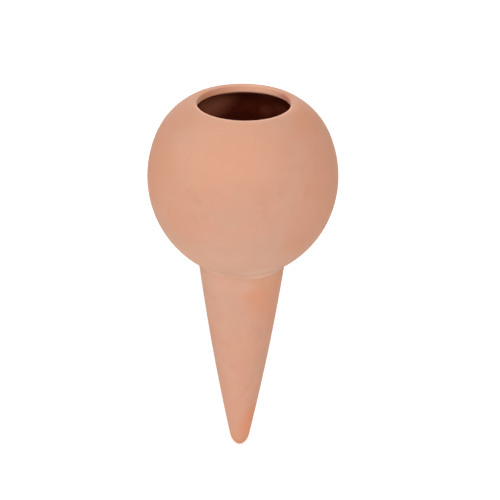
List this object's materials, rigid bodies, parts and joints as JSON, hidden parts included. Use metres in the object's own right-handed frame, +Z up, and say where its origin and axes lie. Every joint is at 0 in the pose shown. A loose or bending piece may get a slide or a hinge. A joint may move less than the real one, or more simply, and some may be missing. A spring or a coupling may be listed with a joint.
{
  "type": "self watering spike",
  "caption": "Round terracotta watering globe with an open filling mouth, luted onto a hollow tapered spike that is pushed into potting soil and lets water seep to the roots.",
  "frame": {"origin": "on the axis of the turned form, at the soil line, level with the crease where the globe meets the spike", "axes": "+Z up along the axis of the turned form, out of the filling mouth; the spike points along -Z; X and Y are alike"},
  "size_m": [0.09, 0.09, 0.18],
  "materials": {
    "terracotta": "unglazed fired earthenware, matt and slightly chalky",
    "slip": "wiped clay slip, matt and a little paler than the body",
    "glaze": "dark brown earthenware glaze, glossy"
  },
  "bodies": {
    "root": {"globe": "terracotta", "spike": "terracotta", "slip_joint": "slip", "inner_glaze": "glaze"}
  },
  "joints": []
}
